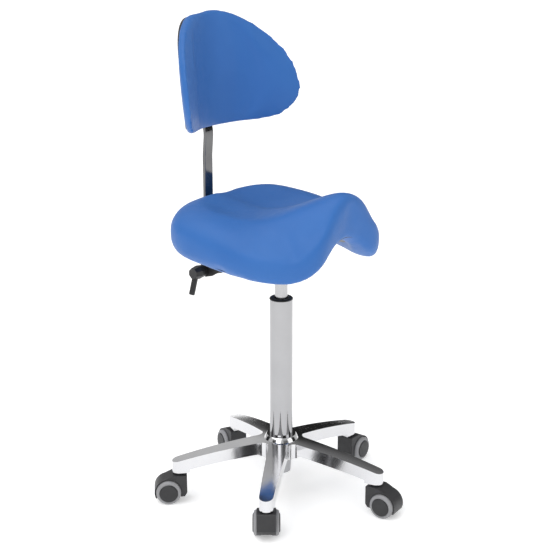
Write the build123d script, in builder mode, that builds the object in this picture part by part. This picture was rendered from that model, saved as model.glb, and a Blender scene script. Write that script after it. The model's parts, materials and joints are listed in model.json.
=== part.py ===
from build123d import *
import os
from math import cos, hypot, radians, sin

# Saddle stool on a five-arm base with twin-wheel casters, a gas-lift column, a saddle seat and a
# wrapped backrest on a flat bar. +X is the way the sitter faces, +Y the sitter's left, +Z up.
# The origin is on the column's axis at floor level. Everything is in millimetres.

# ---- Driving dimensions ----

# Base
ARM_ANGLES = (-57.8, 14.2, 86.2, 158.2, 230.2)
TRAIL_ANGLES = (130, 8, 93, 157, 225)
STEM_CIRCLE = 229
TIP_RADIUS = 15
HUB_RADIUS = 36
HUB_TOP = 143
HUB_BOTTOM = 88
BOSS_BOTTOM = 70
ARM_ROOT_HALF_WIDTH = 22
ARM_WALL = 4.5
ARM_RIB_HALF_WIDTH = 2.5
ARM_CROTCH_RADIUS = 15

# Casters
WHEEL_RADIUS = 27.5
TRAIL = 24
WEB_HALF = 9.2
WHEEL_INNER = 9.7
WHEEL_OUTER = 29.5
HOOD_HALF_WIDTH = 20.5
HOOD_RADIUS = 31
POCKET_RADIUS = 28.6
TREAD_BORE = 20.5
AXLE_RADIUS = 3
STEM_RADIUS = 5.5
SOCKET_RADIUS = 7.5
FIT = 0.06

# Gas-lift column
COLUMN_RADIUS = 25
COLUMN_WALL = 2
COLUMN_BOTTOM = 54
COLUMN_CONE_TOP = 104
COLUMN_FOOT_RADIUS = 21
COLUMN_TOP = 456
COLLAR_TOP = 460
TUBE_RADIUS = 14
TUBE_BORE = 12
TUBE_BOTTOM = 210
TUBE_CONE_BOTTOM = 546
TUBE_TOP = 572
ROD_RADIUS = 5
PISTON_BOTTOM = 350
PIN_RADIUS = 4
PIN_TOP = 577.5

# Seat mechanism
PLATE_TOP = 589.5
PLATE_THICKNESS = 3
CHANNEL_HALF_WIDTH = 38
CHANNEL_BOTTOM = 556
SEAT_BOLTS = ((-95, -52), (-95, 52), (50, -52), (50, 52))
LEVER_PIVOT_Y = 28
LEVER_PIVOT_Z = 577.5
LEVER_RADIUS = 4
SCREW_RADIUS = 3
SCREW_HOLE_RADIUS = 3.3
SCREW_HEAD_RADIUS = 6
SCREW_HEAD_HEIGHT = 4
ARM_BOLTS = ((-84, 0), (-52, 0))

# Backrest support
BAR_X = -210
BAR_WIDTH = 25
BAR_THICKNESS = 8
CLAMP_Z = 483
BOLT_RADIUS = 4
CHEEK_INNER = 13.2
CHEEK_THICKNESS = 4

# Backrest
BACK_X = -203
BACK_MID_Z = 930
BACK_LEAN = 0.11
BACK_CURVE = 0.0034
BACK_BOTTOM = 800
BACK_TOP = 1070


def polar(radius, angle, z=0):
    """Point at a radius and an angle in degrees around the column."""
    return (radius * cos(radians(angle)), radius * sin(radians(angle)), z)


def arm_top(r):
    """Height of the arms' flat upper face at a distance from the column's axis."""
    return 134 - 0.118 * (r - HUB_RADIUS) - 0.00033 * (r - HUB_RADIUS) ** 2


def column_radius(z):
    """Outer radius of the stand tube's tapered foot."""
    share = (z - COLUMN_BOTTOM) / (COLUMN_CONE_TOP - COLUMN_BOTTOM)
    return COLUMN_FOOT_RADIUS + (COLUMN_RADIUS - COLUMN_FOOT_RADIUS) * share


os.makedirs("parts", exist_ok=True)

# ---- Five-arm base ----

ARM_DEPTH = 27
ARM_SKIN = 5
HOLLOW_FLOOR = 40
HOLLOW_HEIGHT = 100
TIP_END = STEM_CIRCLE + TIP_RADIUS
BOSS_START = STEM_CIRCLE - TIP_RADIUS - 7
CHANNEL_START = 52
CHANNEL_END = BOSS_START - 6

# The ribbed hollow under the arms, taken out of the casting below.
with BuildPart() as arm_hollows:
    for angle in ARM_ANGLES:
        arm_plane = Plane(origin=(0, 0, HOLLOW_FLOOR), x_dir=polar(1, angle), z_dir=(0, 0, 1))
        # One pocket on each side of the rib that runs along the arm
        for side in (-1, 1):
            with BuildSketch(arm_plane):
                with BuildLine():
                    Polyline(
                        (CHANNEL_START, side * ARM_RIB_HALF_WIDTH),
                        (CHANNEL_END, side * ARM_RIB_HALF_WIDTH),
                        (CHANNEL_END, side * (TIP_RADIUS - ARM_WALL)),
                        (CHANNEL_START, side * (ARM_ROOT_HALF_WIDTH - ARM_WALL - 1)),
                        close=True,
                    )
                make_face()
            extrude(amount=HOLLOW_HEIGHT)
    with BuildSketch(Plane.XZ):
        with BuildLine():
            skin = [(r, arm_top(r) - ARM_SKIN) for r in (CHANNEL_START - 8, 90, 130, 170, TIP_END)]
            Spline(*skin)
            Polyline(skin[-1], (TIP_END, HOLLOW_FLOOR + 5), (skin[0][0], HOLLOW_FLOOR + 5), skin[0])
        make_face()
    revolve(axis=Axis.Z, mode=Mode.INTERSECT)

with BuildPart() as star_base:
    with BuildSketch(Plane.XY.offset(BOSS_BOTTOM)) as star_plan:
        Circle(HUB_RADIUS)
        for angle in ARM_ANGLES:
            with Locations(Location((0, 0, 0), (0, 0, angle))):
                with BuildLine(mode=Mode.PRIVATE) as arm_outline:
                    Polyline(
                        (0, -ARM_ROOT_HALF_WIDTH - 1.5),
                        (STEM_CIRCLE, -TIP_RADIUS),
                        (STEM_CIRCLE, TIP_RADIUS),
                        (0, ARM_ROOT_HALF_WIDTH + 1.5),
                        close=True,
                    )
                add(make_face(arm_outline.edges(), mode=Mode.PRIVATE))
            with Locations(polar(STEM_CIRCLE, angle)):
                Circle(TIP_RADIUS)
        corners = star_plan.vertices()
        crotches = [v for v in corners if hypot(v.X, v.Y) < HUB_RADIUS + ARM_CROTCH_RADIUS]
        fillet(crotches, radius=ARM_CROTCH_RADIUS)
    extrude(amount=HUB_TOP - BOSS_BOTTOM)
    with BuildSketch(Plane.XZ):
        with BuildLine():
            top = [(r, arm_top(r)) for r in (HUB_RADIUS + 2, 80, 130, 180, TIP_END + 1)]
            bottom = [(r, arm_top(r) - ARM_DEPTH) for r in (BOSS_START, 160, 110, 60)]
            Spline(*top)
            Polyline(
                top[-1],
                (TIP_END + 1, BOSS_BOTTOM),
                (BOSS_START, BOSS_BOTTOM),
                bottom[0],
            )
            Spline(*bottom)
            Polyline(
                bottom[-1],
                (HUB_RADIUS - 6, HUB_BOTTOM),
                (0, HUB_BOTTOM),
                (0, HUB_TOP),
                (HUB_RADIUS - 4, HUB_TOP),
                (HUB_RADIUS - 2, HUB_TOP - 2),
                top[0],
            )
        make_face()
    revolve(axis=Axis.Z, mode=Mode.INTERSECT)
    add(arm_hollows.part, mode=Mode.SUBTRACT)
    # Tapered seat for the column
    with BuildSketch(Plane.XZ):
        with BuildLine():
            Polyline(
                (0, HUB_BOTTOM - 2),
                (column_radius(HUB_BOTTOM - 2), HUB_BOTTOM - 2),
                (COLUMN_RADIUS, COLUMN_CONE_TOP),
                (COLUMN_RADIUS, HUB_TOP + 2),
                (0, HUB_TOP + 2),
                close=True,
            )
        make_face()
    revolve(axis=Axis.Z, mode=Mode.SUBTRACT)
    # Caster sockets
    for angle in ARM_ANGLES:
        with BuildSketch(Plane(origin=polar(STEM_CIRCLE, angle, BOSS_BOTTOM))):
            Circle(SOCKET_RADIUS)
        extrude(amount=20, mode=Mode.SUBTRACT)
star_base.part.label = "star_base"
export_step(star_base.part, "parts/star_base.step")

with BuildPart() as caster_sockets:
    for angle in ARM_ANGLES:
        with BuildSketch(Plane(origin=polar(STEM_CIRCLE, angle, BOSS_BOTTOM))):
            Circle(SOCKET_RADIUS)
            Circle(STEM_RADIUS + FIT, mode=Mode.SUBTRACT)
        extrude(amount=20)
caster_sockets.part.label = "caster_sockets"
export_step(caster_sockets.part, "parts/caster_sockets.step")

# ---- Casters ----

HOOD_TOP = 66
HOOD_FRONT = -17
HOOD_SKIRT = 17
HOOD_BACK_ANGLE = -25
HOOD_MIDDLE_ANGLE = 26
HOOD_CROWN_ANGLE = 75
STEM_FOOT = 46
STEM_HEAD = 88
NECK_RADIUS = 13
SHOULDER = 7


def hood_point(angle):
    """Point on the hood's rounded back, seen from the side, with the stem's axis as its zero."""
    turned = radians(angle)
    return (TRAIL + HOOD_RADIUS * cos(turned), WHEEL_RADIUS + HOOD_RADIUS * sin(turned))


for i, (arm_angle, trail_angle) in enumerate(zip(ARM_ANGLES, TRAIL_ANGLES), start=1):
    stem = Vector(*polar(STEM_CIRCLE, arm_angle))
    trailing = Vector(*polar(1, trail_angle))
    sideways = Vector(*polar(1, trail_angle + 90))
    axle = stem + trailing * TRAIL + Vector(0, 0, WHEEL_RADIUS)
    side_plane = Plane(origin=stem, x_dir=trailing, z_dir=sideways * -1)
    wheel_plane = Plane(origin=axle, x_dir=sideways, z_dir=trailing)
    axle_line = Axis(axle, sideways)
    crown = hood_point(HOOD_CROWN_ANGLE)
    tail = hood_point(HOOD_BACK_ANGLE)

    with BuildPart() as hood:
        with BuildSketch(side_plane):
            with BuildLine():
                ThreePointArc(crown, hood_point(HOOD_MIDDLE_ANGLE), tail)
                Polyline(
                    tail,
                    (HOOD_FRONT + 6, HOOD_SKIRT),
                    (HOOD_FRONT, HOOD_SKIRT + 9),
                    (HOOD_FRONT, HOOD_TOP - 2),
                    (HOOD_FRONT + 2, HOOD_TOP),
                    (HOOD_FRONT + 31, HOOD_TOP),
                    crown,
                )
            make_face()
        extrude(amount=HOOD_HALF_WIDTH, both=True)
        fillet(hood.edges().filter_by(Axis.Z), radius=2.5)
        for side in (-1, 1):
            with BuildSketch(side_plane.offset(side * WEB_HALF)):
                with Locations((TRAIL, WHEEL_RADIUS)):
                    Circle(POCKET_RADIUS)
            extrude(amount=side * HOOD_HALF_WIDTH, mode=Mode.SUBTRACT)
        with BuildSketch(Plane(origin=stem + Vector(0, 0, HOOD_TOP - 4))):
            Circle(NECK_RADIUS)
        extrude(amount=BOSS_BOTTOM - 0.5 - HOOD_TOP + 4)
        with BuildSketch(Plane(origin=stem + Vector(0, 0, STEM_FOOT))):
            Circle(STEM_RADIUS)
        extrude(amount=STEM_HEAD - STEM_FOOT, mode=Mode.SUBTRACT)
        with BuildSketch(side_plane):
            with Locations((TRAIL, WHEEL_RADIUS)):
                Circle(AXLE_RADIUS)
        extrude(amount=HOOD_HALF_WIDTH, both=True, mode=Mode.SUBTRACT)
    hood.part.label = f"caster_{i}_hood"
    export_step(hood.part, f"parts/caster_{i}_hood.step")

    with BuildPart() as pins:
        with BuildSketch(Plane(origin=stem + Vector(0, 0, STEM_FOOT))):
            Circle(STEM_RADIUS)
        extrude(amount=STEM_HEAD - STEM_FOOT)
        chamfer(pins.edges().group_by(Axis.Z)[-1], length=1)
        with BuildSketch(side_plane):
            with Locations((TRAIL, WHEEL_RADIUS)):
                Circle(AXLE_RADIUS)
        extrude(amount=WHEEL_OUTER - 4, both=True)
    pins.part.label = f"caster_{i}_pins"
    export_step(pins.part, f"parts/caster_{i}_pins.step")

    for side, letter in ((-1, "a"), (1, "b")):
        with BuildPart() as wheel:
            with BuildSketch(wheel_plane):
                with BuildLine():
                    Polyline(
                        (side * WHEEL_INNER, AXLE_RADIUS + FIT),
                        (side * WHEEL_INNER, 9),
                        (side * (WHEEL_INNER + 2), 10),
                        (side * (WHEEL_INNER + 2), TREAD_BORE - 2),
                        (side * (WHEEL_INNER + 1), TREAD_BORE),
                        (side * (WHEEL_OUTER - 3), TREAD_BORE),
                        (side * (WHEEL_OUTER - 1), TREAD_BORE - 0.8),
                        (side * (WHEEL_OUTER - 0.2), TREAD_BORE - 2),
                        (side * WHEEL_OUTER, 8),
                        (side * WHEEL_OUTER, 0),
                        (side * (WHEEL_OUTER - 3.5), 0),
                        (side * (WHEEL_OUTER - 3.5), AXLE_RADIUS + FIT),
                        close=True,
                    )
                make_face()
            revolve(axis=axle_line)
        wheel.part.label = f"caster_{i}_wheel_{letter}"
        export_step(wheel.part, f"parts/caster_{i}_wheel_{letter}.step")

        with BuildPart() as tread:
            with BuildSketch(wheel_plane):
                with BuildLine():
                    shoulder_start = (side * (WHEEL_OUTER - 1.5 - SHOULDER), WHEEL_RADIUS)
                    shoulder_end = (side * (WHEEL_OUTER - 2.5), TREAD_BORE)
                    Polyline(
                        shoulder_end,
                        (side * (WHEEL_INNER + 1), TREAD_BORE),
                        (side * (WHEEL_INNER + 1), WHEEL_RADIUS - 2),
                        (side * (WHEEL_INNER + 3), WHEEL_RADIUS),
                        shoulder_start,
                    )
                    ThreePointArc(
                        shoulder_start,
                        (side * (WHEEL_OUTER - 3.7), WHEEL_RADIUS - 2.2),
                        shoulder_end,
                    )
                make_face()
            revolve(axis=axle_line)
        tread.part.label = f"caster_{i}_tread_{letter}"
        export_step(tread.part, f"parts/caster_{i}_tread_{letter}.step")

# ---- Gas-lift column ----

with BuildPart() as column_tube:
    with BuildSketch(Plane.XZ):
        with BuildLine():
            Polyline(
                (ROD_RADIUS + 0.6, COLUMN_BOTTOM),
                (column_radius(COLUMN_BOTTOM) - 1, COLUMN_BOTTOM),
                (column_radius(COLUMN_BOTTOM + 1), COLUMN_BOTTOM + 1),
                (COLUMN_RADIUS, COLUMN_CONE_TOP),
                (COLUMN_RADIUS, COLUMN_TOP),
                (COLUMN_RADIUS - COLUMN_WALL, COLUMN_TOP),
                (COLUMN_RADIUS - COLUMN_WALL, COLUMN_CONE_TOP + 4),
                (COLUMN_FOOT_RADIUS - COLUMN_WALL, COLUMN_BOTTOM + 4),
                (ROD_RADIUS + 0.6, COLUMN_BOTTOM + 4),
                close=True,
            )
        make_face()
    revolve(axis=Axis.Z)
column_tube.part.label = "column_tube"
export_step(column_tube.part, "parts/column_tube.step")

with BuildPart() as column_collar:
    with BuildSketch(Plane.XZ):
        with BuildLine():
            Polyline(
                (TUBE_RADIUS + 0.5, COLUMN_TOP),
                (COLUMN_RADIUS + 0.6, COLUMN_TOP),
                (COLUMN_RADIUS + 0.6, COLLAR_TOP - 2),
                (COLUMN_RADIUS - 1.8, COLLAR_TOP),
                (TUBE_RADIUS + 2, COLLAR_TOP),
                (TUBE_RADIUS + 0.5, COLLAR_TOP - 1.5),
                close=True,
            )
        make_face()
    revolve(axis=Axis.Z)
column_collar.part.label = "column_collar"
export_step(column_collar.part, "parts/column_collar.step")

with BuildPart() as guide_bush:
    with BuildSketch(Plane.XY.offset(COLUMN_TOP - 64)):
        Circle(COLUMN_RADIUS - COLUMN_WALL)
        Circle(TUBE_RADIUS + FIT, mode=Mode.SUBTRACT)
    extrude(amount=62)
guide_bush.part.label = "guide_bush"
export_step(guide_bush.part, "parts/guide_bush.step")

BEARING_BOTTOM = COLUMN_BOTTOM + 4
BEARING_TOP = BEARING_BOTTOM + 5
with BuildPart() as thrust_bearing:
    with BuildSketch(Plane.XY.offset(BEARING_BOTTOM)):
        Circle(15)
        Circle(ROD_RADIUS + 0.6, mode=Mode.SUBTRACT)
    extrude(amount=BEARING_TOP - BEARING_BOTTOM)
    fillet(thrust_bearing.edges().filter_by(GeomType.CIRCLE).group_by(SortBy.RADIUS)[-1], radius=0.8)
thrust_bearing.part.label = "thrust_bearing"
export_step(thrust_bearing.part, "parts/thrust_bearing.step")

GROOVE_RADIUS = 4.2
GROOVE_BOTTOM = COLUMN_BOTTOM - 2.4
with BuildPart() as piston_rod:
    with BuildSketch(Plane.XZ):
        with BuildLine():
            Polyline(
                (0, COLUMN_BOTTOM - 5),
                (ROD_RADIUS - 1, COLUMN_BOTTOM - 5),
                (ROD_RADIUS, COLUMN_BOTTOM - 4),
                (ROD_RADIUS, GROOVE_BOTTOM),
                (GROOVE_RADIUS, GROOVE_BOTTOM),
                (GROOVE_RADIUS, GROOVE_BOTTOM + 1.6),
                (ROD_RADIUS, GROOVE_BOTTOM + 1.6),
                (ROD_RADIUS, BEARING_TOP + 0.1),
                (ROD_RADIUS + 4, BEARING_TOP + 0.1),
                (ROD_RADIUS + 4, BEARING_TOP + 4),
                (ROD_RADIUS, BEARING_TOP + 5),
                (ROD_RADIUS, PISTON_BOTTOM + 12),
                (0, PISTON_BOTTOM + 12),
                close=True,
            )
        make_face()
    revolve(axis=Axis.Z)
piston_rod.part.label = "piston_rod"
export_step(piston_rod.part, "parts/piston_rod.step")

with BuildPart() as rod_clip:
    with BuildSketch(Plane.XY.offset(GROOVE_BOTTOM)):
        Circle(9)
        Circle(GROOVE_RADIUS, mode=Mode.SUBTRACT)
    extrude(amount=1.6)
rod_clip.part.label = "rod_clip"
export_step(rod_clip.part, "parts/rod_clip.step")

with BuildPart() as piston:
    with BuildSketch(Plane.XY.offset(PISTON_BOTTOM)):
        Circle(TUBE_BORE - 0.07)
        Circle(ROD_RADIUS, mode=Mode.SUBTRACT)
    extrude(amount=12)
piston.part.label = "piston"
export_step(piston.part, "parts/piston.step")

TUBE_HEAD_RADIUS = 13.1
with BuildPart() as pressure_tube:
    with BuildSketch(Plane.XZ):
        with BuildLine():
            Polyline(
                (ROD_RADIUS + FIT, TUBE_BOTTOM),
                (TUBE_RADIUS, TUBE_BOTTOM),
                (TUBE_RADIUS, TUBE_CONE_BOTTOM),
                (TUBE_HEAD_RADIUS, TUBE_TOP),
                (PIN_RADIUS + FIT, TUBE_TOP),
                (PIN_RADIUS + FIT, TUBE_TOP - 12),
                (TUBE_BORE - 2, TUBE_TOP - 12),
                (TUBE_BORE, TUBE_TOP - 30),
                (TUBE_BORE, TUBE_BOTTOM + 16),
                (ROD_RADIUS + FIT, TUBE_BOTTOM + 16),
                close=True,
            )
        make_face()
    revolve(axis=Axis.Z)
pressure_tube.part.label = "pressure_tube"
export_step(pressure_tube.part, "parts/pressure_tube.step")

with BuildPart() as valve_pin:
    with BuildSketch(Plane.XY.offset(TUBE_TOP - 18)):
        Circle(PIN_RADIUS)
    extrude(amount=PIN_TOP - TUBE_TOP + 18)
    with BuildSketch(Plane.XY.offset(TUBE_TOP - 18)):
        Circle(PIN_RADIUS + 2)
    extrude(amount=3)
    fillet(valve_pin.edges().group_by(Axis.Z)[-1], radius=1.2)
valve_pin.part.label = "valve_pin"
export_step(valve_pin.part, "parts/valve_pin.step")

# ---- Seat mechanism ----

PLATE_FRONT = 70
PLATE_REAR = -110
PLATE_HALF_WIDTH = 65
CHANNEL_FRONT = 55
CHANNEL_REAR = -100
SOCKET_TUBE_RADIUS = 20
EAR_X = 8
EAR_THICKNESS = 3
PIVOT_RADIUS = 2.5
LEVER_WINDOW_AT = (-5, 575)
LEVER_WINDOW = (36, 23)
PLATE_MID = (PLATE_FRONT + PLATE_REAR) / 2
CHANNEL_MID = (CHANNEL_FRONT + CHANNEL_REAR) / 2
CHANNEL_LENGTH = CHANNEL_FRONT - CHANNEL_REAR
PLATE_UNDERSIDE = PLATE_TOP - PLATE_THICKNESS

with BuildPart() as seat_plate:
    with BuildSketch(Plane.XY.offset(PLATE_UNDERSIDE)):
        with Locations((PLATE_MID, 0)):
            RectangleRounded(PLATE_FRONT - PLATE_REAR, 2 * PLATE_HALF_WIDTH, 12)
        with Locations((CHANNEL_MID, 0)):
            RectangleRounded(CHANNEL_LENGTH - 30, 2 * CHANNEL_HALF_WIDTH - 10, 8, mode=Mode.SUBTRACT)
        with Locations(*SEAT_BOLTS):
            Circle(SCREW_HOLE_RADIUS, mode=Mode.SUBTRACT)
    extrude(amount=PLATE_THICKNESS)
    # Folded channel under the plate
    with BuildSketch(Plane.XY.offset(CHANNEL_BOTTOM)):
        with Locations((CHANNEL_MID, 0)):
            Rectangle(CHANNEL_LENGTH, 2 * CHANNEL_HALF_WIDTH)
    extrude(amount=PLATE_UNDERSIDE - CHANNEL_BOTTOM)
    with BuildSketch(Plane.XY.offset(CHANNEL_BOTTOM + PLATE_THICKNESS)):
        with Locations((CHANNEL_MID, 0)):
            Rectangle(CHANNEL_LENGTH - 2 * PLATE_THICKNESS, 2 * (CHANNEL_HALF_WIDTH - PLATE_THICKNESS))
    extrude(amount=PLATE_UNDERSIDE - CHANNEL_BOTTOM - PLATE_THICKNESS, mode=Mode.SUBTRACT)
    # Tapered socket for the column head, and the two ears of the lever's pivot
    with BuildSketch(Plane.XY.offset(TUBE_CONE_BOTTOM)):
        Circle(SOCKET_TUBE_RADIUS)
    extrude(amount=TUBE_TOP - 2 - TUBE_CONE_BOTTOM)
    for side in (-1, 1):
        with BuildSketch(Plane.XY.offset(CHANNEL_BOTTOM + 1)):
            with Locations((side * (EAR_X + EAR_THICKNESS / 2), LEVER_PIVOT_Y)):
                Rectangle(EAR_THICKNESS, 11)
        extrude(amount=LEVER_PIVOT_Z + 6 - CHANNEL_BOTTOM - 1)
    with BuildSketch(Plane.XZ):
        with BuildLine():
            Polyline(
                (0, TUBE_CONE_BOTTOM),
                (TUBE_RADIUS, TUBE_CONE_BOTTOM),
                (TUBE_HEAD_RADIUS, TUBE_TOP),
                (0, TUBE_TOP),
                close=True,
            )
        make_face()
    revolve(axis=Axis.Z, mode=Mode.SUBTRACT)
    with BuildSketch(Plane.YZ):
        with Locations((LEVER_PIVOT_Y, LEVER_PIVOT_Z)):
            Circle(PIVOT_RADIUS)
    extrude(amount=EAR_X + EAR_THICKNESS + 1, both=True, mode=Mode.SUBTRACT)
    # Window in the left wall for the height lever
    with BuildSketch(Plane.XZ.offset(-CHANNEL_HALF_WIDTH + PLATE_THICKNESS + 1)):
        with Locations(LEVER_WINDOW_AT):
            Rectangle(*LEVER_WINDOW)
    extrude(amount=-PLATE_THICKNESS - 3, mode=Mode.SUBTRACT)
    # Holes for the bolts that hold the backrest arm
    with BuildSketch(Plane.XY.offset(CHANNEL_BOTTOM)):
        with Locations(*ARM_BOLTS):
            Circle(SCREW_HOLE_RADIUS)
    extrude(amount=PLATE_THICKNESS + 0.5, mode=Mode.SUBTRACT)
seat_plate.part.label = "seat_plate"
export_step(seat_plate.part, "parts/seat_plate.step")

with BuildPart() as lever_pivot_pin:
    with BuildSketch(Plane.YZ):
        with Locations((LEVER_PIVOT_Y, LEVER_PIVOT_Z)):
            Circle(PIVOT_RADIUS)
    extrude(amount=EAR_X + EAR_THICKNESS + 1, both=True)
lever_pivot_pin.part.label = "lever_pivot_pin"
export_step(lever_pivot_pin.part, "parts/lever_pivot_pin.step")

LEVER_ROUTE = ((0, -4, 583), (0, 52, 573), (-60, 112, 545), (-66, 196, 525))
with BuildPart() as height_lever:
    with BuildLine() as lever_line:
        FilletPolyline(*LEVER_ROUTE, radius=18)
    with BuildSketch(Plane(origin=LEVER_ROUTE[0], z_dir=Vector(*LEVER_ROUTE[1]) - Vector(*LEVER_ROUTE[0]))):
        Circle(LEVER_RADIUS)
    sweep(path=lever_line.line)
    with BuildSketch(Plane.YZ.offset(-EAR_X + 0.5)):
        with Locations((LEVER_PIVOT_Y, LEVER_PIVOT_Z)):
            Circle(6)
    extrude(amount=2 * EAR_X - 1)
    with BuildSketch(Plane.YZ):
        with Locations((LEVER_PIVOT_Y, LEVER_PIVOT_Z)):
            Circle(PIVOT_RADIUS + FIT)
    extrude(amount=EAR_X, both=True, mode=Mode.SUBTRACT)
height_lever.part.label = "height_lever"
export_step(height_lever.part, "parts/height_lever.step")

GRIP_DEPTH = 24
GRIP_LENGTH = 36
GRIP_WIDTH = 22
GRIP_THICKNESS = 11
GRIP_WAY = (Vector(*LEVER_ROUTE[3]) - Vector(*LEVER_ROUTE[2])).normalized()
GRIP_START = Vector(*LEVER_ROUTE[3]) - GRIP_WAY * GRIP_DEPTH
with BuildPart() as lever_grip:
    with BuildSketch(Plane(origin=GRIP_START, x_dir=(1, 0, 0), z_dir=GRIP_WAY)):
        RectangleRounded(GRIP_WIDTH, GRIP_THICKNESS, 5)
    extrude(amount=GRIP_LENGTH)
    fillet(lever_grip.edges().group_by(Axis.Y)[-1], radius=3)
    with BuildSketch(Plane(origin=GRIP_START - GRIP_WAY * 2, x_dir=(1, 0, 0), z_dir=GRIP_WAY)):
        Circle(LEVER_RADIUS)
    extrude(amount=GRIP_DEPTH + 2.5, mode=Mode.SUBTRACT)
lever_grip.part.label = "lever_grip"
export_step(lever_grip.part, "parts/lever_grip.step")

# ---- Seat ----

# One row for each section across the seat: x, half width, then heights of the top at the middle,
# at 45 %, 80 % and 100 % of the half width, and of the underside at 93 %, 50 % and the middle.
SADDLE = (
    (-190, 100, 640, 641, 634, 617, 602, 601, 601),
    (-172, 158, 659, 661, 652, 617, 594, 599, 602),
    (-130, 190, 650, 656, 656, 614, 584, 597, 603),
    (-60, 200, 641, 647, 650, 606, 576, 597, 603),
    (20, 196, 655, 651, 638, 594, 567, 595, 603),
    (90, 176, 685, 668, 626, 588, 561, 592, 608),
    (140, 145, 707, 684, 632, 590, 563, 597, 619),
    (170, 118, 712, 688, 640, 604, 579, 606, 630),
    (184, 86, 690, 677, 652, 632, 615, 626, 643),
)
SHELL_THICKNESS = 8
SHELL_INSET = 11
SHELL_GAP = 0.4
SEAT_BOSS_RADIUS = 9
SEAT_BOSS_HEIGHT = 6

with BuildPart() as seat_cushion:
    for x, half, top_0, top_1, top_2, edge, low_2, low_1, low_0 in SADDLE:
        right = [
            (0.45 * half, top_1),
            (0.80 * half, top_2),
            (half, edge),
            (0.93 * half, low_2),
            (0.50 * half, low_1),
        ]
        left = [(-y, z) for y, z in reversed(right)]
        with BuildSketch(Plane(origin=(x, 0, 0), x_dir=(0, 1, 0), z_dir=(1, 0, 0))):
            with BuildLine():
                Spline((0, top_0), *right, (0, low_0), *left, periodic=True)
            make_face()
    loft()
seat_cushion.part.label = "seat_cushion"
export_step(seat_cushion.part, "parts/seat_cushion.step")

with BuildPart() as seat_shell:
    with Locations((0, 0, -SHELL_THICKNESS - SHELL_GAP)):
        add(seat_cushion.part)
    with BuildSketch(Plane.XY.offset(500)):
        with BuildLine():
            plan = [(x, half * 0.96 - SHELL_INSET) for x, half, *_ in SADDLE[1:-1]]
            mirrored = [(x, -y) for x, y in reversed(plan)]
            Spline(*plan)
            Spline(*mirrored)
            Line(plan[-1], mirrored[0])
            Line(mirrored[-1], plan[0])
        make_face()
    extrude(amount=250, mode=Mode.INTERSECT)
    with Locations((0, 0, -SHELL_GAP)):
        add(seat_cushion.part, mode=Mode.SUBTRACT)
    with BuildSketch(Plane.XY.offset(PLATE_TOP)):
        with Locations(*SEAT_BOLTS):
            Circle(SEAT_BOSS_RADIUS)
    extrude(amount=SEAT_BOSS_HEIGHT)
    with BuildSketch(Plane.XY.offset(PLATE_TOP)):
        with Locations(*SEAT_BOLTS):
            Circle(SCREW_RADIUS)
    extrude(amount=SEAT_BOSS_HEIGHT + 3, mode=Mode.SUBTRACT)
seat_shell.part.label = "seat_shell"
export_step(seat_shell.part, "parts/seat_shell.step")

with BuildPart() as seat_screws:
    with BuildSketch(Plane.XY.offset(PLATE_UNDERSIDE - SCREW_HEAD_HEIGHT)):
        with Locations(*SEAT_BOLTS):
            RegularPolygon(SCREW_HEAD_RADIUS, 6)
    extrude(amount=SCREW_HEAD_HEIGHT)
    with BuildSketch(Plane.XY.offset(PLATE_UNDERSIDE)):
        with Locations(*SEAT_BOLTS):
            Circle(SCREW_RADIUS)
    extrude(amount=10)
seat_screws.part.label = "seat_screws"
export_step(seat_screws.part, "parts/seat_screws.step")

# ---- Backrest support ----

ARM_PLATE_TOP = CHANNEL_BOTTOM
ARM_PLATE_BOTTOM = CHANNEL_BOTTOM - 4
CHEEK_ROUND = 15
ARM_WEB = ((-94, 553.5), (-176, 517), (-174, 513), (-94, 548.5))
with BuildPart() as backrest_arm:
    for side in (-1, 1):
        with BuildSketch(Plane.XZ.offset(side * (CHEEK_INNER + CHEEK_THICKNESS / 2))):
            with BuildLine():
                Polyline(
                    (-38, ARM_PLATE_BOTTOM + 1),
                    (-96, ARM_PLATE_BOTTOM + 1),
                    (BAR_X - 8, CLAMP_Z + CHEEK_ROUND - 1),
                    (BAR_X - CHEEK_ROUND, CLAMP_Z + 2),
                    (BAR_X - CHEEK_ROUND + 4, CLAMP_Z - 9),
                    (BAR_X + 4, CLAMP_Z - CHEEK_ROUND),
                    (BAR_X + 24, CLAMP_Z - 9),
                    (-88, 536),
                    (-38, 542),
                    close=True,
                )
            make_face()
        extrude(amount=CHEEK_THICKNESS / 2, both=True)
    # Flat plate under the mechanism and the web that joins the cheeks
    with BuildSketch(Plane.XY.offset(ARM_PLATE_BOTTOM)):
        with Locations((-67, 0)):
            RectangleRounded(60, 56, 6)
    extrude(amount=ARM_PLATE_TOP - ARM_PLATE_BOTTOM)
    with BuildSketch(Plane.XZ):
        with BuildLine():
            Polyline(*ARM_WEB, close=True)
        make_face()
    extrude(amount=CHEEK_INNER + 0.5, both=True)
    with BuildSketch(Plane.XZ):
        with Locations((BAR_X, CLAMP_Z)):
            Circle(BOLT_RADIUS)
    extrude(amount=40, both=True, mode=Mode.SUBTRACT)
    with BuildSketch(Plane.XY.offset(ARM_PLATE_BOTTOM)):
        with Locations(*ARM_BOLTS):
            Circle(SCREW_HOLE_RADIUS)
    extrude(amount=5, mode=Mode.SUBTRACT)
backrest_arm.part.label = "backrest_arm"
export_step(backrest_arm.part, "parts/backrest_arm.step")

with BuildPart() as arm_bolts:
    with BuildSketch(Plane.XY.offset(ARM_PLATE_BOTTOM - SCREW_HEAD_HEIGHT)):
        with Locations(*ARM_BOLTS):
            RegularPolygon(SCREW_HEAD_RADIUS, 6)
    extrude(amount=SCREW_HEAD_HEIGHT)
    with BuildSketch(Plane.XY.offset(ARM_PLATE_BOTTOM)):
        with Locations(*ARM_BOLTS):
            Circle(SCREW_RADIUS)
    extrude(amount=12)
arm_bolts.part.label = "arm_bolts"
export_step(arm_bolts.part, "parts/arm_bolts.step")

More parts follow.
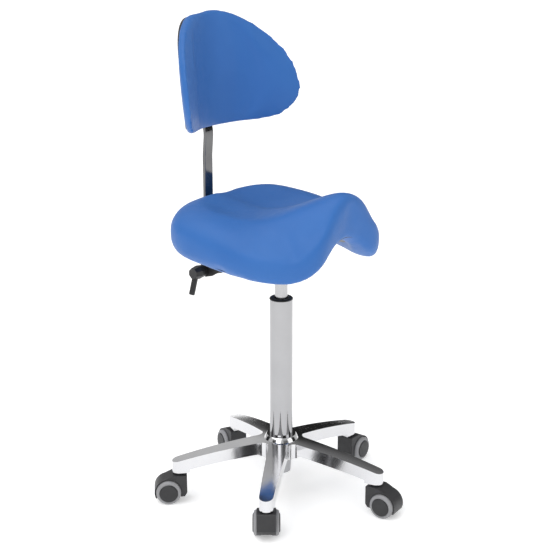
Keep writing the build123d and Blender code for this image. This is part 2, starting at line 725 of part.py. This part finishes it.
HUB_START = CHEEK_INNER + CHEEK_THICKNESS + 0.8
LEVER_HUB_LENGTH = 36
HEAD_START = CHEEK_INNER + CHEEK_THICKNESS
with BuildPart() as clamp_bolt:
    with BuildSketch(Plane.XZ.offset(-HEAD_START)):
        with Locations((BAR_X, CLAMP_Z)):
            Circle(BOLT_RADIUS)
    extrude(amount=HEAD_START + HUB_START + LEVER_HUB_LENGTH - 8)
    with BuildSketch(Plane.XZ.offset(-HEAD_START)):
        with Locations((BAR_X, CLAMP_Z)):
            RegularPolygon(8, 6)
    extrude(amount=-6)
clamp_bolt.part.label = "clamp_bolt"
export_step(clamp_bolt.part, "parts/clamp_bolt.step")

LEVER_TIP_OUT = 16
LEVER_DROP = 48
LEVER_ROOT = Vector(BAR_X, -HUB_START - LEVER_HUB_LENGTH + 11, CLAMP_Z)
LEVER_TIP = LEVER_ROOT + Vector(0, -LEVER_TIP_OUT, -LEVER_DROP)
with BuildPart() as clamp_lever:
    with BuildSketch(Plane.XZ.offset(HUB_START)):
        with Locations((BAR_X, CLAMP_Z)):
            RegularPolygon(13, 8, rotation=22.5)
    with BuildSketch(Plane.XZ.offset(HUB_START + LEVER_HUB_LENGTH * 0.55)):
        with Locations((BAR_X, CLAMP_Z)):
            RegularPolygon(15.5, 8, rotation=22.5)
    loft()
    with BuildSketch(Plane.XZ.offset(HUB_START + LEVER_HUB_LENGTH * 0.55)):
        with Locations((BAR_X, CLAMP_Z)):
            RegularPolygon(15.5, 8, rotation=22.5)
    with BuildSketch(Plane.XZ.offset(HUB_START + LEVER_HUB_LENGTH)):
        with Locations((BAR_X, CLAMP_Z)):
            RegularPolygon(12.5, 8, rotation=22.5)
    loft()
    with BuildSketch(Plane(origin=LEVER_ROOT, x_dir=(1, 0, 0), z_dir=LEVER_TIP - LEVER_ROOT)):
        RectangleRounded(13, 9, 3)
    extrude(amount=(LEVER_TIP - LEVER_ROOT).length)
    with BuildSketch(Plane.XZ.offset(HUB_START)):
        with Locations((BAR_X, CLAMP_Z)):
            Circle(BOLT_RADIUS + FIT)
    extrude(amount=LEVER_HUB_LENGTH - 6, mode=Mode.SUBTRACT)
    fillet(clamp_lever.edges().group_by(Axis.Z)[0], radius=3)
clamp_lever.part.label = "clamp_lever"
export_step(clamp_lever.part, "parts/clamp_lever.step")

BAR_EYE_RADIUS = 10
BAR_ROUTE = ((BAR_X, 0, CLAMP_Z), (BAR_X, 0, 742), (-206, 0, 790), (-226, 0, 915))
with BuildPart() as backrest_bar:
    with BuildLine() as bar_line:
        FilletPolyline(*BAR_ROUTE, radius=55)
    with BuildSketch(Plane.XY.offset(BAR_ROUTE[0][2])):
        with Locations((BAR_X, 0)):
            RectangleRounded(BAR_THICKNESS, BAR_WIDTH, 2)
    sweep(path=bar_line.line)
    with BuildSketch(Plane.XZ):
        with Locations((BAR_X, CLAMP_Z)):
            Circle(BAR_EYE_RADIUS)
    extrude(amount=BAR_WIDTH / 2, both=True)
    with BuildSketch(Plane.XZ):
        with Locations((BAR_X, CLAMP_Z)):
            Circle(BOLT_RADIUS + FIT)
    extrude(amount=BAR_WIDTH, both=True, mode=Mode.SUBTRACT)
backrest_bar.part.label = "backrest_bar"
export_step(backrest_bar.part, "parts/backrest_bar.step")

# ---- Backrest ----

# The upper part of the bar leans back; the carriage slides along it.
RAIL_LOW = Vector(*BAR_ROUTE[2])
RAIL_TOP = Vector(*BAR_ROUTE[3])
RAIL_WAY = (RAIL_TOP - RAIL_LOW).normalized()
RAIL_BACK = RAIL_WAY.cross(Vector(0, 1, 0))
CARRIAGE_AT = 82
CARRIAGE_HEIGHT = 44
CARRIAGE_WIDTH = 44
CARRIAGE_FRONT = 7
CARRIAGE_BACK = 13
FLANGE_WIDTH = 76
FLANGE_HEIGHT = 58
SCREW_SPACING = (60, 42)
KNOB_RADIUS = 17
CARRIAGE_CENTRE = RAIL_LOW + RAIL_WAY * CARRIAGE_AT
rail_plane = Plane(origin=CARRIAGE_CENTRE, x_dir=(0, 1, 0), z_dir=RAIL_WAY)
back_plane = Plane(origin=CARRIAGE_CENTRE, x_dir=(0, 1, 0), z_dir=RAIL_BACK)

with BuildPart() as bar_end_cap:
    with BuildSketch(Plane(origin=RAIL_TOP, x_dir=(0, 1, 0), z_dir=RAIL_WAY)):
        RectangleRounded(BAR_WIDTH, BAR_THICKNESS, 2)
    extrude(amount=4)
    fillet(bar_end_cap.edges().group_by(SortBy.DISTANCE)[-1], radius=0.5)
bar_end_cap.part.label = "bar_end_cap"
export_step(bar_end_cap.part, "parts/bar_end_cap.step")

with BuildPart() as backrest_carriage:
    with BuildSketch(rail_plane.offset(-CARRIAGE_HEIGHT / 2)):
        with Locations((0, (CARRIAGE_BACK - CARRIAGE_FRONT) / 2)):
            RectangleRounded(CARRIAGE_WIDTH, CARRIAGE_FRONT + CARRIAGE_BACK, 4)
    extrude(amount=CARRIAGE_HEIGHT)
    with BuildSketch(back_plane.offset(-CARRIAGE_FRONT)):
        RectangleRounded(FLANGE_WIDTH, FLANGE_HEIGHT, 8)
        with GridLocations(*SCREW_SPACING, 2, 2):
            Circle(2.6, mode=Mode.SUBTRACT)
    extrude(amount=3)
    with BuildSketch(rail_plane.offset(-FLANGE_HEIGHT)):
        Rectangle(BAR_WIDTH + 2 * FIT, BAR_THICKNESS + 2 * FIT)
    extrude(amount=2 * FLANGE_HEIGHT, mode=Mode.SUBTRACT)
    with BuildSketch(back_plane.offset(BAR_THICKNESS / 2)):
        Circle(BOLT_RADIUS + FIT)
    extrude(amount=CARRIAGE_BACK, mode=Mode.SUBTRACT)
backrest_carriage.part.label = "backrest_carriage"
export_step(backrest_carriage.part, "parts/backrest_carriage.step")

with BuildPart() as height_knob:
    with BuildSketch(back_plane.offset(BAR_THICKNESS / 2 + 0.4)):
        Circle(BOLT_RADIUS)
    extrude(amount=CARRIAGE_BACK)
    with BuildSketch(back_plane.offset(CARRIAGE_BACK + 1)):
        Circle(9)
    extrude(amount=8)
    with BuildSketch(back_plane.offset(CARRIAGE_BACK + 7)):
        Circle(KNOB_RADIUS)
        with PolarLocations(KNOB_RADIUS + 2.5, 8):
            Circle(4.5, mode=Mode.SUBTRACT)
    extrude(amount=14)
height_knob.part.label = "height_knob"
export_step(height_knob.part, "parts/height_knob.step")

# The backrest's outline, seen from the front: half of it, from the top to the bottom.
BACK_OUTLINE = (
    (0, 1051),
    (60, 1047),
    (112, 1018),
    (150, 972),
    (172, 900),
    (164, 848),
    (138, 821),
    (75, 811),
    (0, 809),
)
BACK_HALF_WIDTH = 172
BACK_HALF_HEIGHT = 121
CUSHION_FRONT = 13
CUSHION_BACK = -9
BACK_SHELL_THICKNESS = 5
BACK_SHELL_INSET = 7
LEAN_WAY = Vector(-BACK_LEAN, 0, 1)
BAND_HALF_WIDTH = 190
BACK_DEEP = 60


def back_line(y, depth):
    """x of the backrest's curved surface at the lowest level of the slanted band."""
    return BACK_X + BACK_LEAN * (BACK_MID_Z - BACK_BOTTOM) + BACK_CURVE * y * y + depth


def band(front_depth, back_depth):
    """Plan of a sheet between two depths of the curve that wraps round the sitter."""
    stations = [step * BAND_HALF_WIDTH / 3 for step in range(-3, 4)]
    front = [(back_line(y, front_depth), y) for y in stations]
    rear = [(back_line(y, back_depth), y) for y in stations]
    with BuildSketch(Plane.XY.offset(BACK_BOTTOM)) as plan:
        with BuildLine():
            Spline(*front)
            Spline(*rear)
            Line(front[0], rear[0])
            Line(front[-1], rear[-1])
        make_face()
    return plan.sketch


def back_face(inset):
    """Outline of the backrest seen from the front, drawn in by an inset."""
    half = [
        (y - inset * y / BACK_HALF_WIDTH, z - inset * (z - BACK_MID_Z) / BACK_HALF_HEIGHT)
        for y, z in BACK_OUTLINE
    ]
    left = [(-y, z) for y, z in reversed(half[1:-1])]
    with BuildSketch(Plane.YZ.offset(-300)) as outline:
        with BuildLine():
            Spline(*half, *left, periodic=True)
        make_face()
    return outline.sketch


cushion_band = band(CUSHION_FRONT, CUSHION_BACK)
cushion_face = back_face(0)
with BuildPart() as backrest_cushion:
    extrude(cushion_band, amount=BACK_TOP - BACK_BOTTOM, dir=LEAN_WAY)
    extrude(cushion_face, amount=300, mode=Mode.INTERSECT)
backrest_cushion.part.label = "backrest_cushion"
export_step(backrest_cushion.part, "parts/backrest_cushion.step")

SHELL_FRONT = CUSHION_BACK - SHELL_GAP
shell_band = band(SHELL_FRONT, SHELL_FRONT - BACK_SHELL_THICKNESS)
room_band = band(BACK_DEEP, SHELL_FRONT)
shell_face = back_face(BACK_SHELL_INSET)
with BuildPart() as backrest_shell:
    extrude(shell_band, amount=BACK_TOP - BACK_BOTTOM, dir=LEAN_WAY)
    extrude(shell_face, amount=300, mode=Mode.INTERSECT)
    # Flat mounting pad for the carriage
    with BuildSketch(back_plane.offset(-CARRIAGE_FRONT)):
        RectangleRounded(FLANGE_WIDTH, FLANGE_HEIGHT, 8)
    extrude(amount=-14)
    extrude(room_band, amount=BACK_TOP - BACK_BOTTOM, dir=LEAN_WAY, mode=Mode.SUBTRACT)
    with BuildSketch(back_plane.offset(-CARRIAGE_FRONT)):
        with GridLocations(*SCREW_SPACING, 2, 2):
            Circle(2.5)
    extrude(amount=-4.5, mode=Mode.SUBTRACT)
backrest_shell.part.label = "backrest_shell"
export_step(backrest_shell.part, "parts/backrest_shell.step")

with BuildPart() as backrest_screws:
    with BuildSketch(back_plane.offset(-CARRIAGE_FRONT + 3)):
        with GridLocations(*SCREW_SPACING, 2, 2):
            Circle(2.5)
    extrude(amount=-7.5)
    with BuildSketch(back_plane.offset(-CARRIAGE_FRONT + 3)):
        with GridLocations(*SCREW_SPACING, 2, 2):
            Circle(4.6)
    extrude(amount=2.6)
backrest_screws.part.label = "backrest_screws"
export_step(backrest_screws.part, "parts/backrest_screws.step")
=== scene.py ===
import json
import math

import bmesh
import bpy
import numpy as np
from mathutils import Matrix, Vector


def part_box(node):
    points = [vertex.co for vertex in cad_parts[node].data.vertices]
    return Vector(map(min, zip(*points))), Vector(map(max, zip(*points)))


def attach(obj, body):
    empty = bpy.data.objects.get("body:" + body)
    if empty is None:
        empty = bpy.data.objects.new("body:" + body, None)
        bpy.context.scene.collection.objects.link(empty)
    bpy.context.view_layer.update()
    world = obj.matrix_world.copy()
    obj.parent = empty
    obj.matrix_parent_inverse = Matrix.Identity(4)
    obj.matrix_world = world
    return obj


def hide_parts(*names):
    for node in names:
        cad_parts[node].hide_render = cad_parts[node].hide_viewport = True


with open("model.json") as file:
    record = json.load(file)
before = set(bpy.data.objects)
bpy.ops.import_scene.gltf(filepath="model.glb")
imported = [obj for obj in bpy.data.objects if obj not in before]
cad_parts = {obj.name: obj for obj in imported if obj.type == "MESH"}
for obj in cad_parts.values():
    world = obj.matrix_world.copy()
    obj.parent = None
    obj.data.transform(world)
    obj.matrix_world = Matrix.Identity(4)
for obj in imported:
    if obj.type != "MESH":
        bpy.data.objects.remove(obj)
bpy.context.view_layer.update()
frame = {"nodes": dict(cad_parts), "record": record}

NODES = frame["nodes"]
SLOT_OF = {row["node"]: row["material_slot"] for row in frame["record"]["subparts"]}
SCENE = bpy.context.scene

# ---- Camera, floor and light ----

HEADING = math.radians(40)
CAMERA_DISTANCE = 2.75
CAMERA_HEIGHT = 1.3566
CAMERA_PITCH = math.radians(17.339)
LENS = 86.5
SENSOR = 36
SHIFT_X = -0.0022

FLOOR_HALF = 25.0
FLOOR_PAINT = (0.93, 0.93, 0.93, 1)
FLOOR_GLOW = 0.35
WHITE = (1, 1, 1, 1)

# Dark upright panels round the room, as shares of a full turn, which the chrome mirrors
PANELS = ((0.03, 0.09), (0.19, 0.25), (0.41, 0.49), (0.60, 0.66), (0.80, 0.87))
PANEL_EDGE = 0.012
PANEL_DARK = 0.03
PANEL_FADE = (0.45, 0.75)
CEILING = (0.9, 0.9, 0.9, 1)
ROOM_STRENGTH = 0.62
MIX_FIRST_COLOUR = 6
MIX_SECOND_COLOUR = 7
LIGHTS_AIM = (0, 0, 0.6)
SKY_STRENGTH = 1.5
SKY_SPREAD = math.radians(60)
SKY_TILT = (math.radians(18), math.radians(-10), 0)


def make_camera():
    """A long lens from the sitter's front right, above seat height, looking down at the column."""
    data = bpy.data.cameras.new("camera")
    data.sensor_width = SENSOR
    data.lens = LENS
    data.shift_x = SHIFT_X
    camera = bpy.data.objects.new("camera", data)
    camera.location = (
        CAMERA_DISTANCE * math.sin(HEADING),
        -CAMERA_DISTANCE * math.cos(HEADING),
        CAMERA_HEIGHT,
    )
    camera.rotation_euler = (math.radians(90) - CAMERA_PITCH, 0, HEADING)
    SCENE.collection.objects.link(camera)
    SCENE.camera = camera


def link_mesh(name, vertices, faces):
    """A new mesh object from vertices and faces, in the row frame."""
    mesh = bpy.data.meshes.new(name)
    mesh.from_pydata(vertices, [], faces)
    mesh.update()
    piece = bpy.data.objects.new(name, mesh)
    SCENE.collection.objects.link(piece)
    return piece


def make_floor():
    """A wide plain floor under the wheels."""
    corners = [(x * FLOOR_HALF, y * FLOOR_HALF, 0) for x, y in ((-1, -1), (1, -1), (1, 1), (-1, 1))]
    floor = link_mesh("floor", corners, [(0, 1, 2, 3)])
    material, _, shader, _ = new_material("floor_paint")
    shader.inputs["Base Color"].default_value = FLOOR_PAINT
    shader.inputs["Roughness"].default_value = 0.9
    shader.inputs["Specular IOR Level"].default_value = 0.0
    shader.inputs["Emission Color"].default_value = WHITE
    shader.inputs["Emission Strength"].default_value = FLOOR_GLOW
    floor.data.materials.append(material)


def add_area_light(name, place, size, power):
    """A square soft light aimed at the stool's middle."""
    data = bpy.data.lights.new(name, "AREA")
    data.shape = "SQUARE"
    data.size = size
    data.energy = power
    light = bpy.data.objects.new(name, data)
    light.location = place
    aim = Vector(LIGHTS_AIM) - Vector(place)
    light.rotation_euler = aim.to_track_quat("-Z", "Y").to_euler()
    SCENE.collection.objects.link(light)


def make_room():
    """White surroundings with a few dark panels for the chrome to mirror."""
    world = bpy.data.worlds.new("studio")
    SCENE.world = world
    world.use_nodes = True
    tree = world.node_tree
    background = tree.nodes["Background"]
    coords = tree.nodes.new("ShaderNodeTexCoord")
    split = tree.nodes.new("ShaderNodeSeparateXYZ")
    turn = tree.nodes.new("ShaderNodeMath")
    turn.operation = "ARCTAN2"
    spread = tree.nodes.new("ShaderNodeMapRange")
    spread.inputs["From Min"].default_value = -math.pi
    spread.inputs["From Max"].default_value = math.pi
    panels = tree.nodes.new("ShaderNodeValToRGB")
    tree.links.new(coords.outputs["Generated"], split.inputs[0])
    tree.links.new(split.outputs["Y"], turn.inputs[0])
    tree.links.new(split.outputs["X"], turn.inputs[1])
    tree.links.new(turn.outputs[0], spread.inputs["Value"])
    tree.links.new(spread.outputs[0], panels.inputs["Fac"])
    ramp = panels.color_ramp
    ramp.elements[0].position = 0.0
    ramp.elements[0].color = WHITE
    ramp.elements[1].position = 1.0
    ramp.elements[1].color = WHITE
    dark = (PANEL_DARK, PANEL_DARK, PANEL_DARK, 1)
    for start, end in PANELS:
        edges = ((start - PANEL_EDGE, WHITE), (start, dark), (end, dark), (end + PANEL_EDGE, WHITE))
        for place, colour in edges:
            stop = ramp.elements.new(place)
            stop.color = colour
    # The camera sees plain white, and only the object mirrors the panels.
    plain = tree.nodes.new("ShaderNodeBackground")
    plain.inputs["Color"].default_value = WHITE
    rays = tree.nodes.new("ShaderNodeLightPath")
    choose = tree.nodes.new("ShaderNodeMixShader")
    tree.links.new(rays.outputs["Is Camera Ray"], choose.inputs["Fac"])
    tree.links.new(background.outputs[0], choose.inputs[1])
    tree.links.new(plain.outputs[0], choose.inputs[2])
    tree.links.new(choose.outputs[0], tree.nodes["World Output"].inputs["Surface"])
    height = tree.nodes.new("ShaderNodeMapRange")
    height.inputs["From Min"].default_value = PANEL_FADE[0]
    height.inputs["From Max"].default_value = PANEL_FADE[1]
    tree.links.new(split.outputs["Z"], height.inputs["Value"])
    mix = tree.nodes.new("ShaderNodeMix")
    mix.data_type = "RGBA"
    tree.links.new(height.outputs[0], mix.inputs["Factor"])
    tree.links.new(panels.outputs["Color"], mix.inputs[MIX_FIRST_COLOUR])
    mix.inputs[MIX_SECOND_COLOUR].default_value = CEILING
    tree.links.new(mix.outputs[2], background.inputs["Color"])
    background.inputs["Strength"].default_value = ROOM_STRENGTH


def make_light():
    """Two soft lamps and an even light from above."""
    add_area_light("key", place=(1.2, -3.4, 3.0), size=2.2, power=38)
    add_area_light("side", place=(3.4, 1.2, 2.4), size=2.0, power=16)
    sun = bpy.data.lights.new("sky", "SUN")
    sun.energy = SKY_STRENGTH
    sun.angle = SKY_SPREAD
    sky = bpy.data.objects.new("sky", sun)
    sky.rotation_euler = SKY_TILT
    SCENE.collection.objects.link(sky)
    SCENE.view_settings.view_transform = "Standard"
    SCENE.view_settings.look = "None"


# ---- Materials ----

# Noise values lie mostly between these two.
NOISE_LOW = 0.3
NOISE_HIGH = 0.7


def new_material(name):
    """An empty node material with a Principled shader and object coordinates."""
    material = bpy.data.materials.new(name)
    material.use_nodes = True
    tree = material.node_tree
    shader = tree.nodes["Principled BSDF"]
    coords = tree.nodes.new("ShaderNodeTexCoord")
    return material, tree, shader, coords


def noise(tree, coords, scale, detail=3.0, stretch=(1, 1, 1)):
    """Noise over the object's own coordinates, in cells per metre."""
    mapping = tree.nodes.new("ShaderNodeMapping")
    mapping.inputs["Scale"].default_value = stretch
    texture = tree.nodes.new("ShaderNodeTexNoise")
    texture.inputs["Scale"].default_value = scale
    texture.inputs["Detail"].default_value = detail
    tree.links.new(coords.outputs["Object"], mapping.inputs["Vector"])
    tree.links.new(mapping.outputs["Vector"], texture.inputs["Vector"])
    return texture.outputs["Fac"]


def between(tree, value, low, high):
    """A noise value spread over low to high."""
    spread = tree.nodes.new("ShaderNodeMapRange")
    spread.inputs["From Min"].default_value = NOISE_LOW
    spread.inputs["From Max"].default_value = NOISE_HIGH
    spread.inputs["To Min"].default_value = low
    spread.inputs["To Max"].default_value = high
    tree.links.new(value, spread.inputs["Value"])
    return spread.outputs["Result"]


def tint(tree, value, first, second):
    """A colour that moves from first to second with a noise value."""
    ramp = tree.nodes.new("ShaderNodeValToRGB")
    ramp.color_ramp.elements[0].position = NOISE_LOW
    ramp.color_ramp.elements[0].color = (*first, 1)
    ramp.color_ramp.elements[1].position = NOISE_HIGH
    ramp.color_ramp.elements[1].color = (*second, 1)
    tree.links.new(value, ramp.inputs["Fac"])
    return ramp.outputs["Color"]


def add_bump(tree, shader, layers):
    """Stacks bump layers, each a (height, depth in metres) pair."""
    normal = None
    for height, depth in layers:
        bump = tree.nodes.new("ShaderNodeBump")
        bump.inputs["Distance"].default_value = depth
        tree.links.new(height, bump.inputs["Height"])
        if normal is not None:
            tree.links.new(normal, bump.inputs["Normal"])
        normal = bump.outputs["Normal"]
    tree.links.new(normal, shader.inputs["Normal"])


def cells(tree, coords, scale):
    """Rounded pebbles for a moulded or leather grain, in cells per metre."""
    texture = tree.nodes.new("ShaderNodeTexVoronoi")
    texture.feature = "SMOOTH_F1"
    texture.inputs["Scale"].default_value = scale
    tree.links.new(coords.outputs["Object"], texture.inputs["Vector"])
    return texture.outputs["Distance"]


def make_upholstery():
    """Smooth blue artificial leather with a fine pebble grain."""
    material, tree, shader, coords = new_material("blue_leatherette")
    patches = noise(tree, coords, 9, 2)
    blue = tint(tree, patches, (0.034, 0.140, 0.43), (0.040, 0.155, 0.46))
    tree.links.new(blue, shader.inputs["Base Color"])
    tree.links.new(between(tree, noise(tree, coords, 60), 0.42, 0.52), shader.inputs["Roughness"])
    shader.inputs["Specular IOR Level"].default_value = 0.22
    shader.inputs["Sheen Weight"].default_value = 0.04
    shader.inputs["Sheen Roughness"].default_value = 0.45
    add_bump(tree, shader, [(cells(tree, coords, 1150), 0.00012), (noise(tree, coords, 26), 0.0006)])
    return material


def make_metal(name, first, second, rough, grain, stretch=(1, 1, 1)):
    """A polished or brushed metal: rough is its roughness range, grain its bump scale and depth."""
    material, tree, shader, coords = new_material(name)
    shader.inputs["Metallic"].default_value = 1.0
    tree.links.new(tint(tree, noise(tree, coords, 14), first, second), shader.inputs["Base Color"])
    smudges = noise(tree, coords, 22, 4, stretch)
    tree.links.new(between(tree, smudges, *rough), shader.inputs["Roughness"])
    scale, depth = grain
    add_bump(tree, shader, [(noise(tree, coords, scale, 4, stretch), depth)])
    return material


def make_plastic(name, first, second, rough, grain, depth):
    """Moulded plastic or rubber with a fine surface grain."""
    material, tree, shader, coords = new_material(name)
    tree.links.new(tint(tree, noise(tree, coords, 30), first, second), shader.inputs["Base Color"])
    tree.links.new(between(tree, noise(tree, coords, 90), *rough), shader.inputs["Roughness"])
    add_bump(tree, shader, [(cells(tree, coords, grain), depth)])
    return material


def make_materials():
    """One material for each slot of the record, and a copy of the chrome darkened as painted shade for
    the backrest's bar.
    """
    return {
        "upholstery": make_upholstery(),
        "base_metal": make_metal(
            "polished_casting",
            first=(0.64, 0.64, 0.655),
            second=(0.70, 0.70, 0.71),
            rough=(0.09, 0.16),
            grain=(240, 0.00003),
        ),
        "chrome": make_metal(
            "chrome_plate",
            first=(0.38, 0.38, 0.39),
            second=(0.42, 0.42, 0.43),
            rough=(0.05, 0.10),
            grain=(60, 0.00002),
        ),
        # Painted shade: a darker copy of the chrome plate, standing in for the dark reflections along
        # the backrest's bar
        "shaded_chrome": make_metal(
            "chrome_plate_painted_shade",
            first=(0.13, 0.13, 0.135),
            second=(0.17, 0.17, 0.172),
            rough=(0.08, 0.14),
            grain=(60, 0.00002),
        ),
        "tube_steel": make_metal(
            "ground_steel",
            first=(0.44, 0.44, 0.45),
            second=(0.50, 0.50, 0.51),
            rough=(0.16, 0.26),
            grain=(900, 0.00002),
            stretch=(1, 1, 0.08),
        ),
        "bright_steel": make_metal(
            "zinc_plate",
            first=(0.58, 0.58, 0.57),
            second=(0.68, 0.68, 0.66),
            rough=(0.24, 0.36),
            grain=(700, 0.00003),
        ),
        "caster_plastic": make_plastic(
            "caster_nylon",
            first=(0.016, 0.016, 0.018),
            second=(0.024, 0.024, 0.026),
            rough=(0.38, 0.5),
            grain=1500,
            depth=0.00006,
        ),
        "black_plastic": make_plastic(
            "black_moulding",
            first=(0.014, 0.014, 0.015),
            second=(0.022, 0.022, 0.024),
            rough=(0.36, 0.48),
            grain=1300,
            depth=0.00007,
        ),
        "black_steel": make_plastic(
            "black_powder_coat",
            first=(0.012, 0.012, 0.013),
            second=(0.02, 0.02, 0.021),
            rough=(0.34, 0.46),
            grain=700,
            depth=0.00012,
        ),
        "tread": make_plastic(
            "grey_polyurethane",
            first=(0.26, 0.26, 0.27),
            second=(0.31, 0.31, 0.32),
            rough=(0.45, 0.6),
            grain=1400,
            depth=0.00005,
        ),
    }


# ---- CAD nodes ----

BEVELS = {
    "star_base": 0.0011,
    "column_tube": 0.0003,
    "column_collar": 0.0006,
    "clamp_lever": 0.0008,
    "backrest_arm": 0.0006,
    "backrest_carriage": 0.0008,
    "height_knob": 0.001,
    "seat_plate": 0.0005,
    "backrest_bar": 0.0004,
    "backrest_shell": 0.001,
    "seat_shell": 0.001,
}
HOOD_BEVEL = 0.0008
SHARP = math.radians(32)
WELD_REACH = 0.00001


def make_shading():
    """A node group that leaves out stored normals and shades every face smoothly."""
    group = bpy.data.node_groups.new("smooth_shading", "GeometryNodeTree")
    for way in ("INPUT", "OUTPUT"):
        group.interface.new_socket("Geometry", in_out=way, socket_type="NodeSocketGeometry")
    came_in = group.nodes.new("NodeGroupInput")
    plain = group.nodes.new("GeometryNodeRemoveAttribute")
    plain.inputs["Name"].default_value = "custom_normal"
    shaded = group.nodes.new("GeometryNodeSetShadeSmooth")
    goes_out = group.nodes.new("NodeGroupOutput")
    group.links.new(came_in.outputs[0], plain.inputs["Geometry"])
    group.links.new(plain.outputs[0], shaded.inputs[0])
    group.links.new(shaded.outputs[0], goes_out.inputs[0])
    return group


def finish_node(name, node, shading):
    """Smooths, welds and softens a CAD node with modifiers, which leave its mesh as it is."""
    node.modifiers.new("shading", "NODES").node_group = shading
    weld = node.modifiers.new("weld", "WELD")
    weld.merge_threshold = WELD_REACH
    width = BEVELS.get(name, HOOD_BEVEL if name.endswith("_hood") else 0.0)
    if width:
        bevel = node.modifiers.new("bevel", "BEVEL")
        bevel.width = width
        bevel.segments = 2
        bevel.limit_method = "ANGLE"
        bevel.angle_limit = SHARP
        bevel.harden_normals = True
    else:
        split = node.modifiers.new("split", "EDGE_SPLIT")
        split.split_angle = SHARP


# ---- Cushions ----

# Where the cover's lowered rim begins and is full, as shares of the way from the seat's middle to its
# edge, and how wide a gap it leaves for the height lever, in metres
COVER_STARTS = 0.70
COVER_FULL = 0.88
LEVER_CLEAR = 0.030
LEVER_FADE = 0.035

COVER_STRETCH = 60
COVER_BENDING = 40
INFLATE_FRAMES = 20
SMOOTH_FACTOR = 0.5
LAST_SMOOTHING = 14


def ease(value):
    """A smooth step from 0 to 1."""
    share = min(max(value, 0), 1)
    return share * share * (3 - 2 * share)


def draw_down(mesh, drop):
    """Joins the mesh with a copy whose rim hangs drop metres lower, to cover the shell's edge.

    Beside the height lever the rim isn't lowered, so that the lever can lift.
    """
    low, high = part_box("seat_cushion")
    centre = (low + high) / 2
    half = (high - low) / 2
    lever_low, lever_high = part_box("lever_grip")
    lever_x = (lever_low.x + lever_high.x) / 2
    work = bmesh.new()
    work.from_mesh(mesh)
    copied = bmesh.ops.duplicate(work, geom=work.verts[:] + work.edges[:] + work.faces[:])
    for item in copied["geom"]:
        if isinstance(item, bmesh.types.BMVert):
            away = item.co - centre
            reach = math.hypot(away.x / half.x, away.y / half.y)
            share = ease((reach - COVER_STARTS) / (COVER_FULL - COVER_STARTS))
            if away.y > 0:
                share *= ease((abs(item.co.x - lever_x) - LEVER_CLEAR) / LEVER_FADE)
            item.co.z -= drop * share
    work.to_mesh(mesh)
    work.free()


def evaluated_copy(source, name, modifiers, drop):
    """A new object holding the source's mesh, drawn down, after some (type, settings) modifiers."""
    piece = bpy.data.objects.new(name, source.data.copy())
    if drop:
        draw_down(piece.data, drop)
    piece.data.materials.clear()
    SCENE.collection.objects.link(piece)
    for kind, settings in modifiers:
        modifier = piece.modifiers.new(kind.lower(), kind)
        for key, value in settings.items():
            setattr(modifier, key, value)
    bpy.context.view_layer.update()
    baked = bpy.data.meshes.new_from_object(piece.evaluated_get(bpy.context.evaluated_depsgraph_get()))
    piece.modifiers.clear()
    piece.data = baked
    return piece


def read_points(mesh):
    """The mesh's vertices as an array."""
    points = np.zeros(len(mesh.vertices) * 3)
    mesh.vertices.foreach_get("co", points)
    return points.reshape(-1, 3)


def write_points(mesh, points):
    """Sets the mesh's vertices from an array."""
    mesh.vertices.foreach_set("co", points.reshape(-1))
    mesh.update()


def inflate(piece, pressure, cap):
    """Swells a closed mesh as cloth under pressure, then keeps the result within cap metres."""
    start = read_points(piece.data)
    cloth = piece.modifiers.new("cloth", "CLOTH")
    cloth.settings.use_pressure = True
    cloth.settings.uniform_pressure_force = pressure
    cloth.settings.tension_stiffness = COVER_STRETCH
    cloth.settings.compression_stiffness = COVER_STRETCH
    cloth.settings.bending_stiffness = COVER_BENDING
    cloth.settings.effector_weights.gravity = 0
    cloth.point_cache.frame_start = 1
    cloth.point_cache.frame_end = INFLATE_FRAMES
    for number in range(1, INFLATE_FRAMES + 1):
        SCENE.frame_set(number)
    depsgraph = bpy.context.evaluated_depsgraph_get()
    swollen = bpy.data.meshes.new_from_object(piece.evaluated_get(depsgraph))
    end = read_points(swollen)
    bpy.data.meshes.remove(swollen)
    piece.modifiers.clear()
    SCENE.frame_set(1)
    move = end - start
    length = np.linalg.norm(move, axis=1, keepdims=True)
    move *= np.minimum(1, cap / np.maximum(length, 1e-9))
    write_points(piece.data, start + move)


def smooth(piece, rounds):
    """Relaxes the mesh."""
    modifier = piece.modifiers.new("smooth", "SMOOTH")
    modifier.factor = SMOOTH_FACTOR
    modifier.iterations = rounds
    depsgraph = bpy.context.evaluated_depsgraph_get()
    relaxed = bpy.data.meshes.new_from_object(piece.evaluated_get(depsgraph))
    piece.modifiers.clear()
    write_points(piece.data, read_points(relaxed))
    bpy.data.meshes.remove(relaxed)


def make_pad(node, name, body, voxel, pressure, cap, rounds, drop=0):
    """A stuffed cushion that starts from a plain CAD solid, its cover drawn down by drop metres."""
    steps = [
        ("WELD", {"merge_threshold": WELD_REACH}),
        ("REMESH", {"mode": "VOXEL", "voxel_size": voxel}),
    ]
    pad = evaluated_copy(NODES[node], name, steps, drop)
    smooth(pad, rounds)
    inflate(pad, pressure, cap)
    smooth(pad, LAST_SMOOTHING)
    pad.data.polygons.foreach_set("use_smooth", [True] * len(pad.data.polygons))
    pad.data.materials.append(MATERIALS["upholstery"])
    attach(pad, body)
    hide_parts(node)
    subdivision = pad.modifiers.new("subdivision", "SUBSURF")
    subdivision.levels = 1
    subdivision.render_levels = 1


MATERIALS = make_materials()
SHADING = make_shading()
make_camera()
make_floor()
make_room()
make_light()
for node_name, node_object in NODES.items():
    # The backrest's bar takes the chrome copy darkened as painted shade, in place of its slot's
    # material
    finish = "shaded_chrome" if node_name == "backrest_bar" else SLOT_OF[node_name]
    for material_slot in node_object.material_slots:
        material_slot.material = MATERIALS[finish]
    finish_node(node_name, node_object, SHADING)

make_pad(
    "seat_cushion",
    "saddle_pad",
    body="seat",
    voxel=0.005,
    pressure=5.0,
    cap=0.008,
    rounds=6,
    drop=0.015,
)
make_pad(
    "backrest_cushion",
    "backrest_pad",
    body="backrest",
    voxel=0.004,
    pressure=4.0,
    cap=0.009,
    rounds=16,
)
